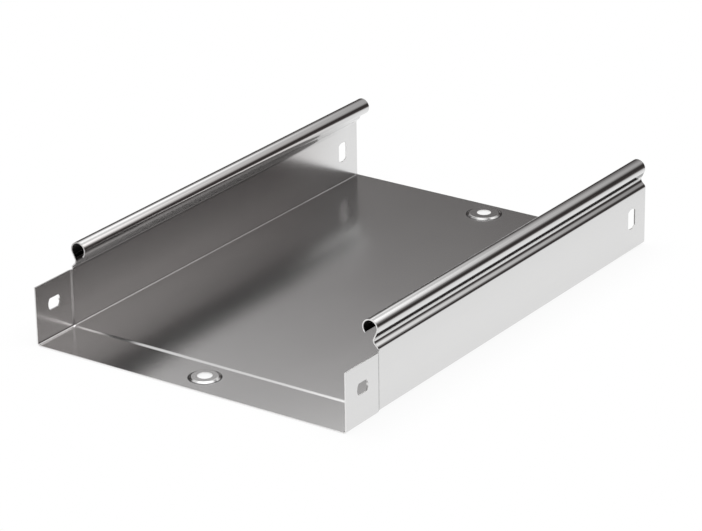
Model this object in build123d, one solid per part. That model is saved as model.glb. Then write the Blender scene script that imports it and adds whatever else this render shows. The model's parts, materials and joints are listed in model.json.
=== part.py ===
from build123d import *
import os
from math import atan2, cos, hypot, radians, sin, tan

# Main sizes of the tray, in millimetres
TRAY_WIDTH = 200.0  # outside of the side walls
TRAY_LENGTH = 300.0  # open end of the socket to the plain end
TRAY_HEIGHT = 50.0  # underside of the main floor to the top of the bead
SHEET = 0.7  # thickness of the steel
INSIDE_BEND = 0.6  # inside radius between floor and wall

# Socket at the near end, one sheet thickness wider and lower than the body
SOCKET_STRAIGHT = 29.2  # flat length of the socket
JOGGLE_RUN = 1.4  # length of the sloped step behind it
JOGGLE_BEND = 0.3  # inside radius of its two soft bends
SOCKET_WALL_GAP = 0.6  # top of the socket walls below the lowest bend of the rim
RELIEF_RADIUS = 0.7  # small notch where the socket wall ends and the rim starts

# Rolled rim along each wall
BEAD_RADIUS = 4.8  # outside radius of the round bead
BEAD_INSET = 0.4  # outside of the bead in from the wall
BEAD_LIP_ANGLE = 226.0  # where the curl ends, counted from the outer side over the top
NECK_LEAN = 25.0  # lean from upright of the flat strip between bead and neck
NECK_INSET = 2.8  # neck in from the wall, both at the middle of the sheet
NECK_TOP_BEND = 0.7  # middle radius at the top of the neck, a tight bend
NECK_FLAT = 0.2  # short upright part of the neck
NECK_LOW_BEND = 2.9  # middle radius between neck and shoulder
SHOULDER_SLOPE = 48.0  # lean of the shoulder from upright
SHOULDER_BEND = 2.5  # middle radius between shoulder and wall

# Holes in the side walls, a circle cut off by two flats
WALL_HOLE_HEIGHT = 19.6  # centre above the main underside
SOCKET_HOLE_INSET = 15.0  # centre from the socket's end
SOCKET_HOLE_LONG = 9.9  # along the tray
SOCKET_HOLE_FLATS = 6.7  # across the flats, upright
TOOTH_REACH = 0.9  # small tooth on the inner side of the socket hole
TOOTH_WIDTH = 1.5
PLAIN_HOLE_INSET = 15.0  # centre from the plain end
PLAIN_HOLE_LONG = 12.1  # upright
PLAIN_HOLE_FLATS = 7.6  # across the flats, along the tray

# Raised bosses in the floor, each with a round hole
FLOOR_HOLE = 8.2
BOSS_RISE = 1.0  # both rise alike, so the plain end's boss nests over the socket's
BOSS_BEND = 0.3  # inside radius of the bends at its foot and its top
SOCKET_BOSS_INSET = 15.5  # centre from the socket's end
SOCKET_BOSS_BASE = 17.8
SOCKET_BOSS_TOP = 14.8
PLAIN_BOSS_INSET = 13.5  # centre from the plain end
PLAIN_BOSS_BASE = 20.5
PLAIN_BOSS_TOP = 17.4

# Places that follow from the sizes; the lowest face lies on the ground
UNDERSIDE = SHEET  # underside of the main floor
HALF_WIDTH = TRAY_WIDTH / 2
SOCKET_END = -TRAY_LENGTH / 2
PLAIN_END = TRAY_LENGTH / 2
BODY_START = SOCKET_END + SOCKET_STRAIGHT + JOGGLE_RUN
OVERCUT = 5.0

# Middle line of the rim from the bead down to the wall
BEAD_MIDDLE = BEAD_RADIUS - SHEET / 2
BEAD_X = HALF_WIDTH - BEAD_INSET - BEAD_RADIUS
BEAD_Z = UNDERSIDE + TRAY_HEIGHT - BEAD_RADIUS
WALL_X = HALF_WIDTH - SHEET / 2
NECK_X = WALL_X - NECK_INSET
LEAN = radians(NECK_LEAN)
SLOPE = radians(SHOULDER_SLOPE)
LEAVE_X = BEAD_X + BEAD_MIDDLE * cos(LEAN)
LEAVE_Z = BEAD_Z - BEAD_MIDDLE * sin(LEAN)
TOP_REACH = NECK_TOP_BEND * tan(LEAN / 2)
LOW_REACH = NECK_LOW_BEND * tan(SLOPE / 2)
FOOT_REACH = SHOULDER_BEND * tan(SLOPE / 2)
NECK_TOP = LEAVE_Z - (LEAVE_X - NECK_X) / tan(LEAN)
NECK_LOW = NECK_TOP - TOP_REACH - NECK_FLAT - LOW_REACH
SHOULDER_FOOT = NECK_LOW - NECK_INSET / tan(SLOPE)
RIM_FOOT = SHOULDER_FOOT - FOOT_REACH
WALL_CUT = RIM_FOOT - SOCKET_WALL_GAP


def channel_block(half, floor, corner, start, end):
    """Solid with two rounded lower edges that fills the channel between two places."""
    height = WALL_CUT + OVERCUT - floor
    block = Box(2 * half, end - start, height, align=(Align.CENTER, Align.MIN, Align.MIN))
    block = Pos(0, start, floor) * block
    return fillet(block.edges().filter_by(Axis.Y).group_by(Axis.Z)[0], corner)


def soft_bend(block, place, radius):
    """Block with the edges round its floor and walls at one place along it rounded."""
    edges = block.edges().filter_by_position(Axis.Y, place - 0.01, place + 0.01)
    return fillet(edges.filter_by(lambda edge: edge.center().Z < WALL_CUT), radius)


def stepped_block(inset):
    """Channel filler with the joggle; inset 0 gives its outside, one sheet gives its inside."""
    body_half = HALF_WIDTH - inset
    body_floor = UNDERSIDE + inset
    body_corner = INSIDE_BEND + SHEET - inset
    step_start = SOCKET_END + SOCKET_STRAIGHT
    start = SOCKET_END if inset == 0 else SOCKET_END - OVERCUT
    end = PLAIN_END if inset == 0 else PLAIN_END + OVERCUT
    socket = channel_block(body_half + SHEET, body_floor - SHEET, body_corner + SHEET, start, step_start)
    body = channel_block(body_half, body_floor, body_corner, BODY_START, end)
    front = socket.faces().sort_by(Axis.Y)[-1]
    back = body.faces().sort_by(Axis.Y)[0]
    step = Solid.make_loft([front.outer_wire(), back.outer_wire()], ruled=True)
    block = socket + step + body
    outer_bend = JOGGLE_BEND + SHEET
    block = soft_bend(block, step_start, JOGGLE_BEND if inset else outer_bend)
    return soft_bend(block, BODY_START, outer_bend if inset else JOGGLE_BEND)


def lower_channel():
    """Floor and walls up to the cut of the socket wall, with the joggle."""
    shape = stepped_block(0) - stepped_block(SHEET)
    cap = Box(3 * TRAY_WIDTH, 2 * TRAY_LENGTH, TRAY_HEIGHT, align=(Align.CENTER, Align.CENTER, Align.MIN))
    return shape - Pos(0, 0, WALL_CUT) * cap


def rim_path():
    """Pieces of the rim's middle line as (kind, values), from the wall's top over the bead."""
    neck_top = (NECK_X + TOP_REACH * sin(LEAN), NECK_TOP + TOP_REACH * cos(LEAN))
    neck_low = (NECK_X + LOW_REACH * sin(SLOPE), NECK_LOW - LOW_REACH * cos(SLOPE))
    foot = (WALL_X - FOOT_REACH * sin(SLOPE), SHOULDER_FOOT + FOOT_REACH * cos(SLOPE))
    low_centre = (NECK_X + NECK_LOW_BEND, NECK_LOW + LOW_REACH)
    top_centre = (NECK_X + NECK_TOP_BEND, NECK_TOP - TOP_REACH)
    return [
        ("line", (WALL_X, WALL_CUT), (WALL_X, RIM_FOOT)),
        ("arc", (WALL_X - SHOULDER_BEND, RIM_FOOT), SHOULDER_BEND, 0, SHOULDER_SLOPE),
        ("line", foot, neck_low),
        ("arc", low_centre, NECK_LOW_BEND, 180 + SHOULDER_SLOPE, 180),
        ("line", (NECK_X, low_centre[1]), (NECK_X, top_centre[1])),
        ("arc", top_centre, NECK_TOP_BEND, 180, 180 - NECK_LEAN),
        ("line", neck_top, (LEAVE_X, LEAVE_Z)),
        ("arc", (BEAD_X, BEAD_Z), BEAD_MIDDLE, -NECK_LEAN, BEAD_LIP_ANGLE),
    ]


def shifted(piece, side):
    """One piece of the middle line moved half a sheet to one side."""
    if piece[0] == "line":
        (x0, z0), (x1, z1) = piece[1:]
        run = hypot(x1 - x0, z1 - z0)
        dx = side * SHEET / 2 * (z1 - z0) / run
        dz = -side * SHEET / 2 * (x1 - x0) / run
        return Line((x0 + dx, z0 + dz), (x1 + dx, z1 + dz))
    centre, radius, start, end = piece[1:]
    turn = 1 if end > start else -1
    return CenterArc(centre, radius + turn * side * SHEET / 2, start, end - start)


def rim_section():
    """Closed outline of the rim with its bead, as a flat face."""
    path = rim_path()
    outer = [shifted(piece, 1) for piece in path]
    inner = [shifted(piece, -1) for piece in path]
    ends = [Line(outer[0] @ 0, inner[0] @ 0), Line(outer[-1] @ 1, inner[-1] @ 1)]
    return make_face(Curve() + outer + inner + ends)


def rim():
    """Rim of the right wall from behind the socket to the plain end."""
    section = Plane(origin=(0, PLAIN_END, 0), x_dir=(1, 0, 0), z_dir=(0, -1, 0)) * rim_section()
    return extrude(section, amount=PLAIN_END - BODY_START)


def flatted_circle(long, flats):
    """Circle cut off by two flats; its long way lies along the first axis."""
    return Circle(long / 2) & Rectangle(long, flats)


def wall_cutter(outline, y):
    """Bar through both side walls with the given outline."""
    plane = Plane(origin=(0, y, UNDERSIDE + WALL_HOLE_HEIGHT), x_dir=(0, 1, 0), z_dir=(1, 0, 0))
    return extrude(plane * outline, amount=TRAY_WIDTH, both=True)


def socket_hole():
    """Lying hole of the socket wall with its small tooth."""
    tip = SOCKET_HOLE_LONG / 2 - TOOTH_REACH
    root = SOCKET_HOLE_LONG / 2 + TOOTH_REACH
    half = TOOTH_WIDTH * (root - tip) / TOOTH_REACH / 2
    tooth = make_face(Polyline((tip, 0), (root, half), (root, -half), close=True))
    return flatted_circle(SOCKET_HOLE_LONG, SOCKET_HOLE_FLATS) - tooth


def plain_hole():
    """Upright hole of the wall near the plain end."""
    return Rot(0, 0, 90) * flatted_circle(PLAIN_HOLE_LONG, PLAIN_HOLE_FLATS)


def relief_cutter():
    """Round bar that leaves the small notch at the foot of each rim's end."""
    plane = Plane(origin=(0, BODY_START, WALL_CUT + RELIEF_RADIUS), x_dir=(0, 1, 0), z_dir=(1, 0, 0))
    return extrude(plane * Circle(RELIEF_RADIUS), amount=TRAY_WIDTH, both=True)


def boss(y, floor_under, base, top):
    """Raised floor boss with its hole, and the plug that clears the floor for it."""
    rise = BOSS_RISE
    lean = SHEET * tan(atan2(rise, (base - top) / 2) / 2)
    low, high = base / 2, top / 2
    outline = Polyline(
        (low + SHEET, floor_under),
        (low - lean, floor_under),
        (high - lean, floor_under + rise),
        (FLOOR_HOLE / 2, floor_under + rise),
        (FLOOR_HOLE / 2, floor_under + SHEET + rise),
        (high, floor_under + SHEET + rise),
        (low, floor_under + SHEET),
        (low + SHEET, floor_under + SHEET),
        close=True,
    )
    section = make_face(outline)
    bends = (
        ((low - lean, floor_under), BOSS_BEND + SHEET),
        ((low, floor_under + SHEET), BOSS_BEND),
        ((high - lean, floor_under + rise), BOSS_BEND),
        ((high, floor_under + SHEET + rise), BOSS_BEND + SHEET),
    )
    for corner, radius in bends:
        section = fillet(section.vertices().sort_by_distance(corner)[0], radius)
    ring = revolve(Plane.XZ * section, Axis.Z)
    plug = Cylinder(low + SHEET, SHEET, align=(Align.CENTER, Align.CENTER, Align.MIN))
    return Pos(0, y, 0) * ring, Pos(0, y, floor_under) * plug


def tray():
    """The whole tray, one piece of bent sheet."""
    right = rim()
    shape = lower_channel() + right + mirror(right, Plane.YZ)
    socket_y = SOCKET_END + SOCKET_BOSS_INSET
    plain_y = PLAIN_END - PLAIN_BOSS_INSET
    near = boss(socket_y, 0, SOCKET_BOSS_BASE, SOCKET_BOSS_TOP)
    far = boss(plain_y, UNDERSIDE, PLAIN_BOSS_BASE, PLAIN_BOSS_TOP)
    for ring, plug in (near, far):
        shape = shape - plug + ring
    shape -= wall_cutter(socket_hole(), SOCKET_END + SOCKET_HOLE_INSET)
    shape -= wall_cutter(plain_hole(), PLAIN_END - PLAIN_HOLE_INSET)
    shape -= relief_cutter()
    return shape


os.makedirs("parts", exist_ok=True)
part = tray()
export_step(part, "parts/tray.step")
print("tray volume", round(part.volume / 1000, 2), "cm3, solids", len(part.solids()))
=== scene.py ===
# %% [markdown]
# # A bright steel cable tray in a small photo tent
#
# The object is one length of sheet-steel cable tray: a flat floor, two walls, a round bead rolled
# along the top of each wall, and a socket at the near end that is one sheet thickness wider.
# Its shape comes ready made, so this lesson is about finish and light: bare metal has no colour of
# its own to speak of, and nearly all that the eye sees on it is what stands around it.

# %% Load the tray as it was made
import json
from math import cos, radians, sin

import bpy
from mathutils import Matrix, Vector

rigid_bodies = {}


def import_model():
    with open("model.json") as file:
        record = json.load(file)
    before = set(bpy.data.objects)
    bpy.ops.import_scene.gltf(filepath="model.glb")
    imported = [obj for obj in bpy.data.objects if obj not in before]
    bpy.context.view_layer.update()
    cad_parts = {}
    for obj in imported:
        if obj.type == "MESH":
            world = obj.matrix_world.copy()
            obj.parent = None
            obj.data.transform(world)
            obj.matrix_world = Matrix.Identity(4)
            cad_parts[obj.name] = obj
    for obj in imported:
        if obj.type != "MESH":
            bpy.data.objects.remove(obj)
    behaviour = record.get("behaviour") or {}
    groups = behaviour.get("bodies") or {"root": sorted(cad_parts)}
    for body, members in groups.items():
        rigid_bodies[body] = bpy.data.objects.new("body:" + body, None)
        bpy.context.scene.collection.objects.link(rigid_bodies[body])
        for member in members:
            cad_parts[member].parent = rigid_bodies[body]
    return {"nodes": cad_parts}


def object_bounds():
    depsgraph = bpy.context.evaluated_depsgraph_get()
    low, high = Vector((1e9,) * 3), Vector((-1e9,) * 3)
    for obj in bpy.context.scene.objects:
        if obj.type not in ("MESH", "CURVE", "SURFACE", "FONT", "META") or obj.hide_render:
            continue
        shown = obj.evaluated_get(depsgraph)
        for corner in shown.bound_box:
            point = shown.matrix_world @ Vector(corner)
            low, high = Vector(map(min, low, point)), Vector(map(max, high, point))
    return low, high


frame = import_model()
made_low, made_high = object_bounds()
tray = frame["nodes"]["tray"]
scene = bpy.context.scene
print("tray", [round(value, 4) for value in made_high - made_low], "m,", len(tray.data.polygons), "faces")

# %% [markdown]
# ## Camera
#
# The camera stands to the right of the tray, in front of its socket, and looks down into it. A long
# lens far away keeps the edges almost parallel. It could be aimed with a Track To constraint, but
# three angles and a place say the same with no helper object: azimuth goes round the tray,
# elevation lifts the camera, and a small roll tilts the picture. Their three axes are the columns
# of the camera's matrix. Place, angles and focal length come from a fit of the tray's corners and
# holes to the picture.

# %% Camera
PHOTO_WIDTH = 702
FOCAL_PIXELS = 3299.94
CAMERA_PLACE = Vector((0.963566, -1.376201, 0.718230))
CAMERA_AZIMUTH = radians(34.99528)
CAMERA_ELEVATION = radians(22.66413)
CAMERA_ROLL = radians(-0.86898)


def camera_axes(azimuth, elevation, roll):
    """Right, up and backward directions of a camera turned round the object."""
    back = Vector((sin(azimuth) * cos(elevation), -cos(azimuth) * cos(elevation), sin(elevation)))
    level = Vector((cos(azimuth), sin(azimuth), 0))
    upright = back.cross(level)
    right = cos(roll) * level + sin(roll) * upright
    up = cos(roll) * upright - sin(roll) * level
    return right, up, back


def make_camera():
    """Camera with the picture's place, angles and focal length."""
    data = bpy.data.cameras.new("picture_camera")
    data.sensor_width = 36
    data.lens = FOCAL_PIXELS * data.sensor_width / PHOTO_WIDTH
    camera = bpy.data.objects.new("picture_camera", data)
    scene.collection.objects.link(camera)
    axes = camera_axes(CAMERA_AZIMUTH, CAMERA_ELEVATION, CAMERA_ROLL)
    turn = Matrix(axes).transposed().to_4x4()
    camera.matrix_world = Matrix.Translation(CAMERA_PLACE) @ turn
    scene.camera = camera
    return camera


camera = make_camera()
print("camera", round(camera.data.lens, 1), "mm lens,", round(camera.location.length, 2), "m away")

# %% [markdown]
# ## Helpers for node trees
#
# Every finish below is a small node tree. Three helpers keep the cells short: one adds a node and
# sets its plain values, one joins an output to an input, and one takes either a socket or a plain
# value for an input.

# %% Node helpers


def add_node(tree, kind, **settings):
    """New node of a kind; settings that name an input set its value, the others set the node."""
    node = tree.nodes.new(kind)
    for name, value in settings.items():
        socket = node.inputs.get(name.replace("_", " "))
        if socket is None:
            setattr(node, name, value)
        else:
            socket.default_value = value
    return node


def join(tree, output, target):
    """Link from an output socket to an input socket."""
    tree.links.new(output, target)


def feed(tree, value, target):
    """Join a socket to an input, or set a plain value on it."""
    if hasattr(value, "is_output"):
        join(tree, value, target)
    else:
        target.default_value = value


# %% [markdown]
# ## White floor
#
# The tray lies on a plain white floor that fills the picture. A lit white board would turn grey
# away from the lamps, so the floor glows by itself at a strength of 1, which is white. An Ambient
# Occlusion node darkens it where the tray stands close, and that is the tray's soft shadow.

# %% Floor
FLOOR_SIZE = 12.0
FLOOR_DROP = 0.0002
SHADOW_REACH = 0.03
SHADOW_DEPTH = 0.08


def empty_material(name):
    """Empty material with its output node."""
    material = bpy.data.materials.new(name)
    material.use_nodes = True
    material.node_tree.nodes.clear()
    output = add_node(material.node_tree, "ShaderNodeOutputMaterial")
    return material, material.node_tree, output


def floor_white():
    """White that glows, a little darker close to the tray."""
    material, tree, output = empty_material("floor_white")
    near = add_node(tree, "ShaderNodeAmbientOcclusion", Distance=SHADOW_REACH, samples=16)
    shade = add_node(tree, "ShaderNodeMapRange", To_Min=1 - SHADOW_DEPTH, To_Max=1.0)
    glow = add_node(tree, "ShaderNodeEmission", Strength=1.0)
    join(tree, near.outputs["AO"], shade.inputs["Value"])
    join(tree, shade.outputs["Result"], glow.inputs["Color"])
    join(tree, glow.outputs["Emission"], output.inputs["Surface"])
    return material


def flat_piece(name, width, length, place, material):
    """Flat rectangle on the level, facing up."""
    half = Vector((width / 2, length / 2))
    corners = [(-half.x, -half.y, 0), (half.x, -half.y, 0), (half.x, half.y, 0), (-half.x, half.y, 0)]
    mesh = bpy.data.meshes.new(name)
    mesh.from_pydata(corners, [], [(0, 1, 2, 3)])
    mesh.materials.append(material)
    piece = bpy.data.objects.new(name, mesh)
    piece.location = place
    scene.collection.objects.link(piece)
    return piece


floor = flat_piece("floor", FLOOR_SIZE, FLOOR_SIZE, (0, 0, -FLOOR_DROP), floor_white())
print("floor", FLOOR_SIZE, "m wide")

# %% [markdown]
# ## Dark tent
#
# White all round would leave the metal flat and pale. A photographer hangs black cloth round
# bright metal, so that each curve carries a dark line beside its highlight. The tent here is a
# ball of dark cloth round the tray. The camera looks through it, and the metal sees it. Black cloth
# is rarely neutral: this one is faintly brown, which gives the darkest parts of the metal a warm
# cast while the bright ones stay neutral.

# %% Tent
TENT_RADIUS = 2.4
TENT_GLOW = 0.045
WHITE = (1, 1, 1, 1)
CLOTH_COLOUR = (1, 0.87, 0.85, 1)
DIM_COLOUR = (1, 0.98, 0.975, 1)


def only_in_reflections(piece):
    """Leave a piece to the metal's reflections and take it out of every other ray's way."""
    piece.visible_camera = False
    piece.visible_shadow = False
    piece.visible_diffuse = False
    piece.visible_transmission = False


def tent_cloth():
    """Dark cloth with a faint glow of its own."""
    material, tree, output = empty_material("tent_cloth")
    glow = add_node(tree, "ShaderNodeEmission", Color=CLOTH_COLOUR, Strength=TENT_GLOW)
    join(tree, glow.outputs["Emission"], output.inputs["Surface"])
    return material


def make_tent():
    """Ball of cloth that only the metal's reflections see."""
    bpy.ops.mesh.primitive_uv_sphere_add(segments=64, ring_count=32, radius=TENT_RADIUS)
    tent = bpy.context.object
    tent.name = "tent"
    tent.data.materials.append(tent_cloth())
    only_in_reflections(tent)
    return tent


tent = make_tent()
print("tent", TENT_RADIUS, "m in radius")

# %% [markdown]
# ## Patches with soft edges
#
# The skirt of the tent on the floor and the soft boxes overhead are the same thing to the metal: a
# flat patch that is even in the middle and fades towards its edges. A lamp object has hard edges,
# so each patch is a plane that glows by a node group. The group takes two corners, the widths of
# the fades at them and a slant, and puts out a level between 0 and 1.

# %% Soft patch group


def make_group(name, inputs, outputs):
    """Empty shader node group with its sockets and end nodes."""
    group = bpy.data.node_groups.new(name, "ShaderNodeTree")
    for label, kind, value in inputs:
        socket = group.interface.new_socket(label, in_out="INPUT", socket_type=kind)
        socket.default_value = value
    for label, kind in outputs:
        group.interface.new_socket(label, in_out="OUTPUT", socket_type=kind)
    return group, group.nodes.new("NodeGroupInput"), group.nodes.new("NodeGroupOutput")


def vector_step(tree, operation, first, second):
    """Vector Math node between two sockets or plain vectors."""
    node = add_node(tree, "ShaderNodeVectorMath", operation=operation)
    for target, value in zip(node.inputs, (first, second)):
        feed(tree, value, target)
    return node.outputs[0]


def make_patch_group():
    """Level of a rectangle in plan with its own soft width at each side."""
    vectors = [(label, "NodeSocketVector", (0, 0, 0)) for label in ("Low", "High", "Low Fade", "High Fade")]
    slant = ("Slant", "NodeSocketVector", (0, 0, 0))
    group, start, end = make_group("soft_patch", vectors + [slant], [("Level", "NodeSocketFloat")])
    place = add_node(group, "ShaderNodeNewGeometry").outputs["Position"]
    across = add_node(group, "ShaderNodeSeparateXYZ")
    join(group, place, across.inputs["Vector"])
    lean = vector_step(group, "MULTIPLY", across.outputs["X"], start.outputs["Slant"])
    place = vector_step(group, "SUBTRACT", place, lean)
    level = (1, 1, 1)
    low, high = start.outputs["Low"], start.outputs["High"]
    for outer, inner, fade in ((place, low, "Low Fade"), (high, place, "High Fade")):
        depth = vector_step(group, "SUBTRACT", outer, inner)
        share = vector_step(group, "DIVIDE", depth, start.outputs[fade])
        share = vector_step(group, "MAXIMUM", share, (0, 0, 0))
        share = vector_step(group, "MINIMUM", share, (1, 1, 1))
        square = vector_step(group, "MULTIPLY", share, share)
        slope = vector_step(group, "MULTIPLY", share, (-2, -2, -2))
        slope = vector_step(group, "ADD", slope, (3, 3, 3))
        level = vector_step(group, "MULTIPLY", level, vector_step(group, "MULTIPLY", square, slope))
    split = add_node(group, "ShaderNodeSeparateXYZ")
    both = add_node(group, "ShaderNodeMath", operation="MULTIPLY")
    join(group, level, split.inputs["Vector"])
    join(group, split.outputs["X"], both.inputs[0])
    join(group, split.outputs["Y"], both.inputs[1])
    join(group, both.outputs[0], end.inputs["Level"])
    return group


PATCH_GROUP = make_patch_group()


def use_group(tree, group, **settings):
    """Group node with plain values on its inputs; a name's underscores stand for spaces."""
    node = tree.nodes.new("ShaderNodeGroup")
    node.node_tree = group
    for name, value in settings.items():
        node.inputs[name.replace("_", " ")].default_value = value
    return node


def patch_level(tree, low, high, low_fade, high_fade, slant):
    """Level of a patch between two plan corners; slant moves it forward on one side."""
    flat = [(x, y, 0) for x, y in (low, high)] + [(x, y, 1) for x, y in (low_fade, high_fade)]
    node = use_group(tree, PATCH_GROUP, Low=flat[0], High=flat[1], Low_Fade=flat[2], High_Fade=flat[3])
    node.inputs["Slant"].default_value = (0, slant, 0)
    return node.outputs["Level"]


print("group", PATCH_GROUP.name, "with", len(PATCH_GROUP.nodes), "nodes")

# %% [markdown]
# ## Skirt of the tent
#
# Dark cloth also lies on the floor round the tray and leaves a white clearing open. What the outer
# side of the right wall and the lower sides of the beads show is this clearing, and the cloth
# beyond it is the dark line beside it.

# %% Skirt
SKIRT_HEIGHT = 0.0001
SKIRT_GLOW = 0.1
CLEARING = ((-0.190, -1.0), (0.469, 0.481))
CLEARING_FADE = ((0.04, 0.18), (0.368, 0.285))
CLEARING_SLANT = 0.01


def skirt_cloth():
    """Dark cloth with a soft clearing."""
    material, tree, output = empty_material("skirt_cloth")
    clear = add_node(tree, "ShaderNodeBsdfTransparent")
    cloth = add_node(tree, "ShaderNodeEmission", Color=CLOTH_COLOUR, Strength=SKIRT_GLOW)
    mix = add_node(tree, "ShaderNodeMixShader")
    join(tree, patch_level(tree, *CLEARING, *CLEARING_FADE, CLEARING_SLANT), mix.inputs["Fac"])
    join(tree, cloth.outputs["Emission"], mix.inputs[1])
    join(tree, clear.outputs["BSDF"], mix.inputs[2])
    join(tree, mix.outputs["Shader"], output.inputs["Surface"])
    return material


skirt = flat_piece("tent_skirt", 2 * TENT_RADIUS, 2 * TENT_RADIUS, (0, 0, SKIRT_HEIGHT), skirt_cloth())
only_in_reflections(skirt)
print("clearing from", CLEARING[0], "to", CLEARING[1])

# %% [markdown]
# ## Soft boxes
#
# All the boxes hang at nearly one height over the tray, each half a millimetre above the one
# before, and most of them overlap. Bare metal shows each part of this ceiling somewhere else, so
# they are best told apart by what they light.
# - "left", "right", "middle", "bright" and "right_edge" are the broad highlight of the beads, and
#   the place where "left" ends is the thin grey line in it. "rim_edge" softens its lower edge.
# - "crown" is the second highlight on the left bead.
# - "far_left" is what the tray's floor shows, brighter near the socket, and "dim" is a wide cloth
#   that keeps its far end from going dark.
# - "near_left", "near_right", "near_middle" and "between" light the step of the socket and the
#   cones of the two bosses.
# - "side" stands far out to the right for the step in the left wall.
# - "back" hangs behind the camera and lights the tray's floor when one walks round it.
#
# The numbers of the nine boxes from "left" to "bright", and those of the clearing, were first found
# by a computed fit of the metal's reflections to the picture, and then partly changed. The other six
# boxes were set one by one.

# %% Lamps
BOX_HEIGHT = 0.51
BOX_STEP = 0.0005


def patch_glow(name, colour, radiance, *patch):
    """See-through plane that adds the glow of one patch."""
    material, tree, output = empty_material(name)
    glow = add_node(tree, "ShaderNodeEmission", Color=colour)
    power = add_node(tree, "ShaderNodeMath", operation="MULTIPLY")
    power.inputs[1].default_value = radiance
    join(tree, patch_level(tree, *patch), power.inputs[0])
    join(tree, power.outputs[0], glow.inputs["Strength"])
    clear = add_node(tree, "ShaderNodeBsdfTransparent")
    both = add_node(tree, "ShaderNodeAddShader")
    join(tree, clear.outputs["BSDF"], both.inputs[0])
    join(tree, glow.outputs["Emission"], both.inputs[1])
    join(tree, both.outputs["Shader"], output.inputs["Surface"])
    return material


def soft_box(name, radiance, low, high, low_fade, high_fade, slant, colour=WHITE):
    """Glowing patch over the tray between two plan corners."""
    count = sum(piece.name.startswith("soft_box") for piece in scene.objects)
    middle = ((low[0] + high[0]) / 2, (low[1] + high[1]) / 2 + slant * (low[0] + high[0]) / 2)
    length = high[1] - low[1] + abs(slant) * (high[0] - low[0])
    material = patch_glow("soft_box_" + name, colour, radiance, low, high, low_fade, high_fade, slant)
    place = (*middle, BOX_HEIGHT + BOX_STEP * count)
    piece = flat_piece("soft_box_" + name, high[0] - low[0], length, place, material)
    only_in_reflections(piece)
    print("soft box", name, "radiance", radiance, "from", low, "to", high)


soft_box("left", 1.200, (-0.581, 0.180), (-0.048, 0.719), (0.221, 0.030), (0.268, 0.436), -0.562)
soft_box("right", 0.543, (0.016, 0.240), (0.732, 1.035), (0.184, 0.108), (0.429, 0.617), 0.279)
soft_box("far_left", 1.420, (-1.035, -0.062), (-0.388, 0.690), (0.298, 0.102), (0.226, 1.047), -0.579)
soft_box("dim", 0.160, (-1.391, 0.400), (0.988, 1.532), (0.259, 0.465), (0.302, 0.582), -0.216, DIM_COLOUR)
soft_box("near_left", 0.850, (-0.732, -0.557), (0.060, 0.076), (0.218, 0.187), (0.300, 0.282), -0.390)
soft_box("near_right", 1.400, (-0.120, -0.444), (0.717, 0.039), (0.160, 0.131), (0.641, 0.288), 0.437)
soft_box("side", 0.966, (0.820, -0.476), (1.924, 0.643), (0.348, 0.210), (0.184, 0.417), -0.037)
soft_box("middle", 0.808, (-0.393, 0.300), (0.227, 1.034), (0.318, 0.033), (0.194, 0.753), -0.023)
soft_box("bright", 1.200, (-0.031, 0.240), (0.614, 0.596), (0.239, 0.052), (0.411, 0.355), 0.258)
soft_box("right_edge", 0.200, (0.250, 0.300), (1.000, 0.800), (0.250, 0.150), (0.300, 0.350), 0.200)
soft_box("rim_edge", 0.150, (0.750, 0.550), (1.500, 1.200), (0.200, 0.300), (0.400, 0.400), 0.200)
soft_box("crown", 0.320, (-0.600, 0.420), (-0.240, 0.700), (0.120, 0.080), (0.120, 0.160), 0.000)
soft_box("near_middle", 1.200, (-0.300, -0.450), (0.300, 0.240), (0.150, 0.150), (0.150, 0.150), 0.000)
soft_box("back", 0.450, (-1.500, -1.750), (1.500, -0.600), (0.500, 0.500), (0.500, 0.400), 0.000)
soft_box("between", 0.450, (-0.600, 0.000), (0.250, 0.340), (0.150, 0.120), (0.200, 0.150), -0.200)

# %% [markdown]
# ## World
#
# The sky behind all of this is plain white, for pictures from a low angle.

# %% World
world = bpy.data.worlds.new("white_world")
world.use_nodes = True
world.node_tree.nodes["Background"].inputs["Color"].default_value = WHITE
world.cycles.sampling_method = "NONE"
scene.world = world
scene.view_settings.view_transform = "Standard"

# %% [markdown]
# ## What the steel shows close up
#
# The sheet comes from a coil, skin-passed to an even satin, and is then roll formed. Its finish has
# four layers: a fine even grain, broad clouds of slightly duller and brighter metal, faint lines
# along the tray where the rolls pressed it, and bare sheared metal at every cut. An image texture
# could show them, but noise computed from the place on the object needs no unwrapping and stays
# sharp at any distance. The grain and the clouds share a node group, and the lines and the cuts have
# one each, so that they can be checked by themselves.

# %% Grain and cloud group
CLOUD_STRETCH = (1, 0.45, 1)


def math_step(tree, operation, first, second=0.0, third=0.0):
    """Math node between sockets or plain values."""
    node = add_node(tree, "ShaderNodeMath", operation=operation)
    for target, value in zip(node.inputs, (first, second, third)):
        feed(tree, value, target)
    return node.outputs[0]


def noise(tree, place, scale, detail, stretch=(1, 1, 1)):
    """Noise between -1 and 1 over the object, squeezed along the axes by the stretch."""
    scaled = vector_step(tree, "MULTIPLY", place, stretch)
    node = add_node(tree, "ShaderNodeTexNoise", Detail=detail, Roughness=0.6)
    feed(tree, scale, node.inputs["Scale"])
    join(tree, scaled, node.inputs["Vector"])
    return math_step(tree, "MULTIPLY_ADD", node.outputs["Fac"], 2.0, -1.0)


def make_grain_group():
    """Fine grain and broad clouds of a skin-passed sheet."""
    scales = [("Grain Scale", "NodeSocketFloat", 1400.0), ("Cloud Scale", "NodeSocketFloat", 28.0)]
    layers = [("Grain", "NodeSocketFloat"), ("Cloud", "NodeSocketFloat")]
    group, start, end = make_group("sheet_grain", scales, layers)
    place = add_node(group, "ShaderNodeTexCoord").outputs["Object"]
    fine = noise(group, place, start.outputs["Grain Scale"], 2.0)
    broad = noise(group, place, start.outputs["Cloud Scale"], 4.0, CLOUD_STRETCH)
    join(group, fine, end.inputs["Grain"])
    join(group, broad, end.inputs["Cloud"])
    return group


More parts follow.
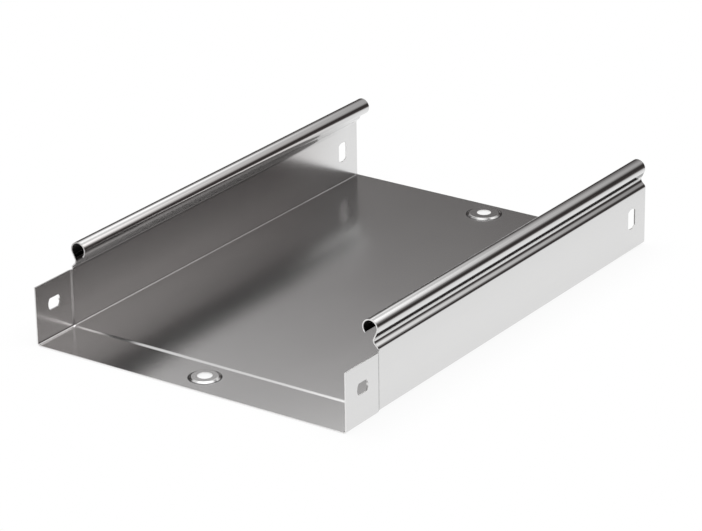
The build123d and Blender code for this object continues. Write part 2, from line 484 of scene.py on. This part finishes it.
GRAIN_GROUP = make_grain_group()
print("group", GRAIN_GROUP.name, "with", len(GRAIN_GROUP.nodes), "nodes")

# %% [markdown]
# ## Lines of the rolls
#
# The forming rolls press faint lines into the sheet all along the tray. They are noise again, so
# strongly stretched along the tray that each spot becomes a line.

# %% Roll line group
LINE_STRETCH = (1, 0.012, 1)


def make_roll_group():
    """Faint lines that the forming rolls leave along the tray."""
    fineness = [("Fineness", "NodeSocketFloat", 900.0)]
    group, start, end = make_group("roll_lines", fineness, [("Lines", "NodeSocketFloat")])
    place = add_node(group, "ShaderNodeTexCoord").outputs["Object"]
    lines = noise(group, place, start.outputs["Fineness"], 3.0, LINE_STRETCH)
    join(group, lines, end.inputs["Lines"])
    return group


ROLL_GROUP = make_roll_group()
print("group", ROLL_GROUP.name, "with", len(ROLL_GROUP.nodes), "nodes")

# %% [markdown]
# ## Where the steel was cut
#
# Both ends of the tray, its four wall holes and its two floor holes are sheared or punched, and a
# cut face is rougher than the rolled skin. A cut face is known by its normal: it lies in the
# sheet's own plane. At the ends the normal points along the tray, in the walls' holes it lies in
# the wall's plane, and in the floor's holes it is level.

# %% Cut face group
WALL_FACE = 0.099
HOLE_REACH = 0.02
BEND_TOP = 0.006
FACING_ALONG = 0.95
FACING_ASIDE = 0.1


def make_cut_group():
    """Mask of the faces where the sheet was cut through."""
    group, start, end = make_group("cut_faces", [], [("Cut", "NodeSocketFloat")])
    shape = add_node(group, "ShaderNodeNewGeometry")
    place = add_node(group, "ShaderNodeTexCoord").outputs["Object"]
    where = add_node(group, "ShaderNodeSeparateXYZ")
    facing = add_node(group, "ShaderNodeSeparateXYZ")
    join(group, place, where.inputs["Vector"])
    join(group, shape.outputs["True Normal"], facing.inputs["Vector"])
    along = math_step(group, "GREATER_THAN", math_step(group, "ABSOLUTE", facing.outputs["Y"]), FACING_ALONG)
    side_place = math_step(group, "GREATER_THAN", math_step(group, "ABSOLUTE", where.outputs["X"]), WALL_FACE)
    in_wall = math_step(group, "LESS_THAN", math_step(group, "ABSOLUTE", facing.outputs["X"]), FACING_ASIDE)
    above = math_step(group, "GREATER_THAN", where.outputs["Z"], BEND_TOP)
    wall_cut = math_step(group, "MULTIPLY", math_step(group, "MULTIPLY", side_place, in_wall), above)
    middle = math_step(group, "LESS_THAN", math_step(group, "ABSOLUTE", where.outputs["X"]), HOLE_REACH)
    level = math_step(group, "LESS_THAN", math_step(group, "ABSOLUTE", facing.outputs["Z"]), FACING_ASIDE)
    floor_cut = math_step(group, "MULTIPLY", middle, level)
    cut = math_step(group, "MAXIMUM", along, math_step(group, "MAXIMUM", wall_cut, floor_cut))
    join(group, cut, end.inputs["Cut"])
    return group


CUT_GROUP = make_cut_group()
print("group", CUT_GROUP.name, "with", len(CUT_GROUP.nodes), "nodes")

# %% [markdown]
# ## Worn edges
#
# Handling polishes the sheet's outer edges first. A Bevel node gives the normal that a rounded edge
# would have. Where it departs from the true normal there is an edge, and noise breaks the line up.

# %% Edge wear group
WEAR_SHARPNESS = 5.0
WEAR_BREAKS = 260.0


def make_edge_group():
    """Broken line of polished metal along the edges."""
    width = [("Width", "NodeSocketFloat", 0.0006)]
    group, start, end = make_group("edge_wear", width, [("Edge", "NodeSocketFloat")])
    rounded = add_node(group, "ShaderNodeBevel", samples=4)
    shape = add_node(group, "ShaderNodeNewGeometry")
    place = add_node(group, "ShaderNodeTexCoord").outputs["Object"]
    join(group, start.outputs["Width"], rounded.inputs["Radius"])
    same = vector_step(group, "DOT_PRODUCT", rounded.outputs["Normal"], shape.outputs["Normal"])
    same = same.node.outputs["Value"]
    bend = math_step(group, "MULTIPLY", math_step(group, "SUBTRACT", 1.0, same), WEAR_SHARPNESS)
    broken = math_step(group, "MULTIPLY_ADD", noise(group, place, WEAR_BREAKS, 3.0), 0.5, 0.75)
    edge = add_node(group, "ShaderNodeClamp")
    join(group, math_step(group, "MULTIPLY", bend, broken), edge.inputs["Value"])
    join(group, edge.outputs["Result"], end.inputs["Edge"])
    return group


EDGE_GROUP = make_edge_group()
print("group", EDGE_GROUP.name, "with", len(EDGE_GROUP.nodes), "nodes")

# %% [markdown]
# ## Painted shade on the steel
#
# Some parts of the sheet are darkened in colour: this is painted shade, and on the inner walls a
# painted tint. The inside of each bead is painted almost black, the shade inside its curl. The groove
# under the bead is painted darker on both sides: inside the tray it is painted shade, less of it
# towards the plain end, and outside it is a painted dark reflection. The socket's step has a thin
# painted grey line of shade outside, and the foot of each boss a thin painted ring of shade. The inner
# walls get a faint painted brown tint for the warm dark surroundings that they reflect, fading out
# towards the plain end. Each part is found by its place on the object and by the way it faces, so no
# face has to be picked by hand. The bead, the step and the bosses are placed from the tray's own
# bounds. How dark each part is was chosen to match the picture.

# %% Places of the painted shade parts
SHEET = 0.0007
BEAD_RADIUS = 0.0048
BEAD_INSET = 0.0004
BEAD_X = made_high.x - SHEET - BEAD_INSET - BEAD_RADIUS
BEAD_Z = made_high.z - BEAD_RADIUS
HOLLOW_RADIUS = 0.00435  # between the inner and the outer face of the bead
RIM_FOOT = 0.0345
GROOVE_TOP = 0.0426
# Band of painted dark reflection on the outer side of the rim, in metres up
OUTER_GROOVE = (0.0410, 0.0436)
# Place of the thin painted grey line of shade along the socket's step
SOCKET_STRAIGHT = 0.0292
STEP_RUN = 0.0014
STEP_Y = made_low.y + SOCKET_STRAIGHT + STEP_RUN / 2
STEP_HALF = 0.0011
# Places of the painted shade rings at the boss feet
SOCKET_BOSS = (made_low.y + 0.0155, 0.0089)  # place along the tray and radius of the foot
PLAIN_BOSS = (made_high.y - 0.0135, 0.01025)
FOOT_HALF = 0.0005
print("bead", round(BEAD_X, 4), "m aside and", round(BEAD_Z, 4), "m up, step at", round(STEP_Y, 4), "m")

# %% Mask helpers


def rise(tree, value, start, end):
    """0 below the start and 1 above the end, straight between."""
    node = add_node(tree, "ShaderNodeMapRange", From_Min=start, From_Max=end)
    join(tree, value, node.inputs["Value"])
    return node.outputs["Result"]


def all_of(tree, first, *others):
    """Product of masks."""
    for other in others:
        first = math_step(tree, "MULTIPLY", first, other)
    return first


def plan_distance(tree, first, second):
    """Length of two legs at a right angle."""
    square = math_step(tree, "MULTIPLY", first, first)
    return math_step(tree, "SQRT", math_step(tree, "MULTIPLY_ADD", second, second, square))


# %% [markdown]
# ## Inner side of the groove
#
# Inside the tray the painted shade grows in three rises from the wall up to the rim's foot, is a little
# weaker on the bead, and ends under the bead. Near the socket it reaches further up the bead's side.
# One mask with all of this keeps the steel's own tree short.

# %% Inner groove mask
# Start and end of each rise, up from the rim's foot, and its share of the painted shade
GROOVE_RISES = ((0.0, 0.0025, 0.18), (-0.0012, -0.0002, 0.3), (-0.024, 0.0, 0.36))
BEAD_LESS = 0.28
TOP_HALF = 0.0004
UNDER_BEAD = (0.0009, -0.0011)
BESIDE_BEAD = (0.0022, 0.0008)
SOCKET_REACH = (-0.02, -0.08)
PLAIN_REACH = (0.14, 0.07)
INWARD = (0.0, -0.2)


def inner_groove(tree, place, outward):
    """Mask of painted shade on the wall's upper part inside, strongest between the rim's foot and the bead.
    """
    height = place.outputs["Z"]
    along = place.outputs["Y"]
    deep = 0.0
    for start, end, share in GROOVE_RISES:
        part = rise(tree, height, RIM_FOOT + start, RIM_FOOT + end)
        deep = math_step(tree, "MULTIPLY_ADD", part, share, deep)
    on_bead = rise(tree, height, GROOVE_TOP - TOP_HALF, GROOVE_TOP + TOP_HALF)
    bead = math_step(tree, "MULTIPLY_ADD", on_bead, -BEAD_LESS, 1.0)
    below = rise(tree, height, BEAD_Z + UNDER_BEAD[0], BEAD_Z + UNDER_BEAD[1])
    beside = rise(tree, height, BEAD_Z + BESIDE_BEAD[0], BEAD_Z + BESIDE_BEAD[1])
    higher = all_of(tree, beside, rise(tree, along, *SOCKET_REACH))
    below = math_step(tree, "MAXIMUM", below, higher)
    return all_of(tree, deep, bead, below, rise(tree, along, *PLAIN_REACH), rise(tree, outward, *INWARD))


print("groove from", RIM_FOOT, "to", GROOVE_TOP, "m up, in", len(GROOVE_RISES), "rises")

# %% [markdown]
# ## Feet of the bosses
#
# A thin ring of painted shade lies where each boss's cone leaves the floor. Both rings are one mask:
# the half of the tray that a place lies in says which boss it belongs to.

# %% Boss foot mask


def boss_foot(tree, place):
    """Mask of a thin ring of painted shade round the foot of each boss."""
    far = math_step(tree, "GREATER_THAN", place.outputs["Y"], 0.0)
    middle = math_step(tree, "MULTIPLY_ADD", far, PLAIN_BOSS[0] - SOCKET_BOSS[0], SOCKET_BOSS[0])
    radius = math_step(tree, "MULTIPLY_ADD", far, PLAIN_BOSS[1] - SOCKET_BOSS[1], SOCKET_BOSS[1])
    along = math_step(tree, "SUBTRACT", place.outputs["Y"], middle)
    off = math_step(tree, "SUBTRACT", plan_distance(tree, place.outputs["X"], along), radius)
    return rise(tree, math_step(tree, "ABSOLUTE", off), FOOT_HALF, FOOT_HALF * 0.4)


print("boss feet at", round(SOCKET_BOSS[0], 4), "and", round(PLAIN_BOSS[0], 4), "m along the tray")

# %% [markdown]
# ## All painted shade and tint together
#
# The remaining masks need only a line or two each: the bead's hollow by its distance from the bead's
# middle, the outer groove and the step by where they lie on the outer side, and the inner walls by
# the way they face.

# %% Painted shade part group
FACING_OUT = (0.4, 0.6)
FACING_IN = (-0.5, -0.8)
FACING_AWAY_FROM_ENDS = (0.9, 0.5)
# The inner walls' painted tint is full up to 0.07 m along the tray and gone past 0.13 m
WALL_REACH = (0.13, 0.07)
HOLLOW_FADE = 0.0001
GROOVE_FADE = (0.0002, 0.0003)


def outer_groove(tree, height, outside):
    """Mask of a band with soft edges on the outer side of the rim, where a dark reflection is painted."""
    before, after = GROOVE_FADE
    low = rise(tree, height, OUTER_GROOVE[0] - before, OUTER_GROOVE[0] + after)
    high = rise(tree, height, OUTER_GROOVE[1] + before, OUTER_GROOVE[1] - after)
    return all_of(tree, low, high, outside)


def make_painted_shade_group():
    """Masks of the painted shade in the hollow, on both sides of the groove, at the step and the boss feet,
    and of the painted tint on the inner walls.
    """
    labels = ("Hollow", "Outer Groove", "Inner Groove", "Step", "Boss Foot", "Inner Wall")
    group, start, end = make_group("painted_shade_parts", [], [(label, "NodeSocketFloat") for label in labels])
    place = add_node(group, "ShaderNodeSeparateXYZ")
    facing = add_node(group, "ShaderNodeSeparateXYZ")
    join(group, add_node(group, "ShaderNodeTexCoord").outputs["Object"], place.inputs["Vector"])
    join(group, add_node(group, "ShaderNodeNewGeometry").outputs["True Normal"], facing.inputs["Vector"])
    side = math_step(group, "SIGN", place.outputs["X"])
    outward = math_step(group, "MULTIPLY", facing.outputs["X"], side)
    outside = rise(group, outward, *FACING_OUT)
    wall = rise(group, outward, *FACING_IN)
    aside = math_step(group, "SUBTRACT", math_step(group, "ABSOLUTE", place.outputs["X"]), BEAD_X)
    above = math_step(group, "SUBTRACT", place.outputs["Z"], BEAD_Z)
    distance = plan_distance(group, aside, above)
    inside = rise(group, distance, HOLLOW_RADIUS + HOLLOW_FADE, HOLLOW_RADIUS - HOLLOW_FADE)
    skin = rise(group, math_step(group, "ABSOLUTE", facing.outputs["Y"]), *FACING_AWAY_FROM_ENDS)
    off = math_step(group, "ABSOLUTE", math_step(group, "SUBTRACT", place.outputs["Y"], STEP_Y))
    # Painted shade inside the bead's curl; this mask also makes the hollow rough
    found = {"Hollow": all_of(group, inside, skin)}
    # Painted dark reflection on the outer side of the groove
    found["Outer Groove"] = outer_groove(group, place.outputs["Z"], outside)
    # Painted shade in the groove under the bead, inside the tray
    found["Inner Groove"] = inner_groove(group, place, outward)
    # Painted shade ring round each boss's foot
    found["Boss Foot"] = boss_foot(group, place)
    # Painted warm tint on the inner walls
    found["Inner Wall"] = all_of(group, wall, rise(group, place.outputs["Y"], *WALL_REACH))
    # Painted grey line of shade along the socket's step
    found["Step"] = all_of(group, rise(group, off, STEP_HALF, STEP_HALF * 0.6), outside)
    for label, mask in found.items():
        join(group, mask, end.inputs[label])
    return group


PAINTED_SHADE_GROUP = make_painted_shade_group()
print("group", PAINTED_SHADE_GROUP.name, "with", len(PAINTED_SHADE_GROUP.nodes), "nodes")

# %% [markdown]
# ## Bright steel
#
# One Principled shader, fully metallic, of a neutral grey. The grain moves colour, roughness and a
# very shallow bump together, and the clouds and the roll lines move them a little more. The rim was
# polished by the rolls and is smoother than the flat sheet, so its lines are crisp and those in the
# floor and the walls are soft. Cuts are bare bright metal and rougher. The painted shade darkens the
# colour, each part by its own share, the inner walls take their painted warm tint, and the bead's
# hollow is rough as well.

# %% Steel
SHEET_COLOUR = (0.718, 0.716, 0.714, 1)
CUT_COLOUR = (0.86, 0.852, 0.848, 1)
# Painted warm tint of the inner walls, for the warm dark surroundings they reflect
PAINTED_WALL_TINT = (0.705, 0.680, 0.672, 1)
FLAT_ROUGHNESS = 0.19
RIM_ROUGHNESS = 0.10
CUT_ROUGHNESS = 0.42
HOLLOW_ROUGHNESS = 0.55
# How much each painted shade mask darkens the colour
PAINTED_SHADE_SHARES = {"Hollow": 0.9, "Outer Groove": 0.72, "Inner Groove": 0.88, "Step": 0.4, "Boss Foot": 0.7}
TONE_SHARES = {"Grain": 0.035, "Lines": 0.02, "Cloud": 0.02}
ROUGH_SHARES = {"Cloud": 0.02, "Grain": 0.01, "Edge": -0.04}
LINE_RELIEF = 0.3
RELIEF_STRENGTH = 0.004
RELIEF_DEPTH = 0.0002


def mix_colour(tree, share, first, second):
    """Colour between two, by a share; each may be a socket or a plain colour."""
    node = add_node(tree, "ShaderNodeMix", data_type="RGBA")
    join(tree, share, node.inputs[0])
    for target, value in ((node.inputs[6], first), (node.inputs[7], second)):
        feed(tree, value, target)
    return node.outputs[2]


def mix_value(tree, share, first, second):
    """Value between two, by a share; each may be a socket or a plain number."""
    node = add_node(tree, "ShaderNodeMix")
    for target, value in zip(node.inputs[:1] + node.inputs[2:4], (share, first, second)):
        feed(tree, value, target)
    return node.outputs[0]


def bright_steel():
    """Satin sheet steel with grain, roll lines, cut faces, worn edges, painted shade and a painted tint."""
    material, tree, output = empty_material("bright_steel")
    grain = use_group(tree, GRAIN_GROUP)
    cut = use_group(tree, CUT_GROUP).outputs["Cut"]
    layers = {label: grain.outputs[label] for label in ("Grain", "Cloud")}
    layers["Lines"] = use_group(tree, ROLL_GROUP).outputs["Lines"]
    layers["Edge"] = use_group(tree, EDGE_GROUP).outputs["Edge"]
    painted_shade = use_group(tree, PAINTED_SHADE_GROUP)
    place = add_node(tree, "ShaderNodeSeparateXYZ")
    join(tree, add_node(tree, "ShaderNodeTexCoord").outputs["Object"], place.inputs["Vector"])
    rim = math_step(tree, "GREATER_THAN", place.outputs["Z"], RIM_FOOT)

    tone = 1.0
    for label, share in TONE_SHARES.items():
        tone = math_step(tree, "MULTIPLY_ADD", layers[label], share, tone)
    # Painted shade: each mask darkens the colour by its share
    for label, share in PAINTED_SHADE_SHARES.items():
        kept = math_step(tree, "MULTIPLY_ADD", painted_shade.outputs[label], -share, 1.0)
        tone = math_step(tree, "MULTIPLY", tone, kept)
    # Painted warm tint on the inner walls
    colour = mix_colour(tree, painted_shade.outputs["Inner Wall"], SHEET_COLOUR, PAINTED_WALL_TINT)
    colour = mix_colour(tree, cut, colour, CUT_COLOUR)
    colour = vector_step(tree, "SCALE", colour, (0, 0, 0)).node
    join(tree, tone, colour.inputs["Scale"])

    rough = mix_value(tree, rim, FLAT_ROUGHNESS, RIM_ROUGHNESS)
    rough = mix_value(tree, cut, rough, CUT_ROUGHNESS)
    rough = mix_value(tree, painted_shade.outputs["Hollow"], rough, HOLLOW_ROUGHNESS)
    for label, share in ROUGH_SHARES.items():
        rough = math_step(tree, "MULTIPLY_ADD", layers[label], share, rough)

    height = math_step(tree, "MULTIPLY_ADD", layers["Lines"], LINE_RELIEF, layers["Grain"])
    relief = add_node(tree, "ShaderNodeBump", Strength=RELIEF_STRENGTH, Distance=RELIEF_DEPTH)
    steel = add_node(tree, "ShaderNodeBsdfPrincipled", Metallic=1.0)
    join(tree, height, relief.inputs["Height"])
    join(tree, colour.outputs[0], steel.inputs["Base Color"])
    join(tree, rough, steel.inputs["Roughness"])
    join(tree, relief.outputs["Normal"], steel.inputs["Normal"])
    join(tree, steel.outputs["BSDF"], output.inputs["Surface"])
    return material


tray.material_slots[0].material = bright_steel()
print("material", tray.material_slots[0].material.name)
